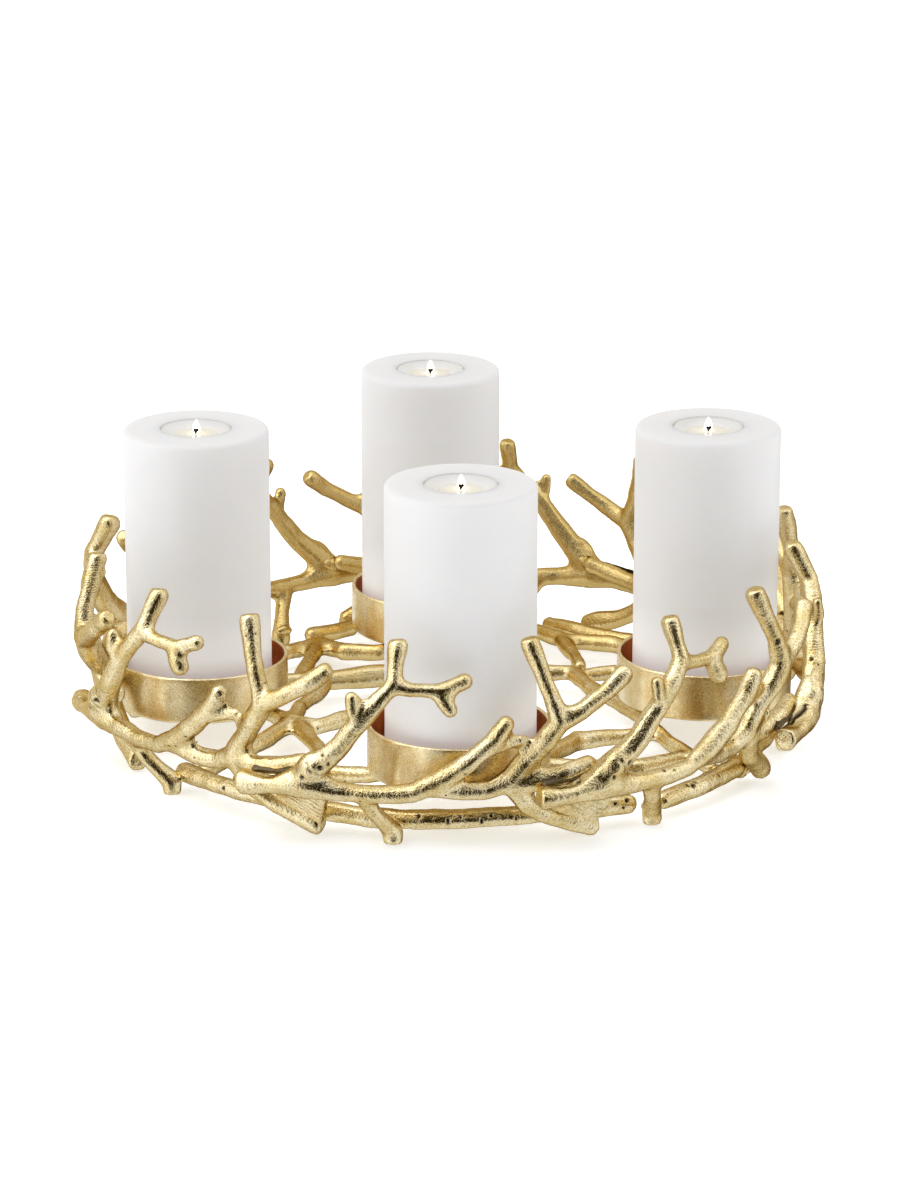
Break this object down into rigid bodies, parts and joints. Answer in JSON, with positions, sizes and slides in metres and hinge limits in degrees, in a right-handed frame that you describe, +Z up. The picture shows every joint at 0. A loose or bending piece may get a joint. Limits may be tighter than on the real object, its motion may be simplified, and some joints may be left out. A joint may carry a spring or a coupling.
{
  "type": "advent wreath candle holder",
  "caption": "Open ring of branching cast metal twigs on low feet, carrying round cups with pillar candles that hold tealights in their tops.",
  "frame": {"origin": "middle of the ring's outer box, on the surface that the feet stand on", "axes": "+Z up, the front that the picture shows faces -Y, +X to the right as seen from the front"},
  "size_m": [0.4082, 0.4088, 0.1783],
  "materials": {
    "cast_gold": "cast twigs plated champagne gold, satin, pitted and mottled",
    "cup_gold": "thin-walled cup plated gold, fine matte grain outside, darker inside",
    "pillar_wax": "smooth white candle wax",
    "tealight_wax": "pale ivory candle wax, slightly glossy",
    "clear_plastic": "clear moulded tealight cup",
    "charred_cotton": "burnt cotton wick"
  },
  "bodies": {
    "root": {"branch_casting_1": "cast_gold", "branch_casting_2": "cast_gold", "branch_casting_3": "cast_gold", "branch_casting_4": "cast_gold", "branch_casting_5": "cast_gold", "branch_casting_6": "cast_gold", "branch_casting_7": "cast_gold", "branch_casting_8": "cast_gold", "lower_bar_1": "cast_gold", "lower_bar_2": "cast_gold", "lower_bar_3": "cast_gold", "lower_bar_4": "cast_gold", "lower_bar_5": "cast_gold", "lower_bar_6": "cast_gold", "lower_bar_7": "cast_gold", "lower_bar_8": "cast_gold", "floor_twigs_front_left": "cast_gold", "floor_twigs_back_left": "cast_gold", "floor_twigs_back_right": "cast_gold", "floor_twigs_front_right": "cast_gold", "candle_cup_front": "cup_gold", "candle_cup_right": "cup_gold", "candle_cup_back": "cup_gold", "candle_cup_left": "cup_gold", "pillar_candle_front": "pillar_wax", "pillar_candle_right": "pillar_wax", "pillar_candle_back": "pillar_wax", "pillar_candle_left": "pillar_wax", "tealight_cup_front": "clear_plastic", "tealight_cup_right": "clear_plastic", "tealight_cup_back": "clear_plastic", "tealight_cup_left": "clear_plastic", "tealight_wax_front": "tealight_wax", "tealight_wax_right": "tealight_wax", "tealight_wax_back": "tealight_wax", "tealight_wax_left": "tealight_wax", "wick_front": "charred_cotton", "wick_right": "charred_cotton", "wick_back": "charred_cotton", "wick_left": "charred_cotton"}
  },
  "joints": []
}
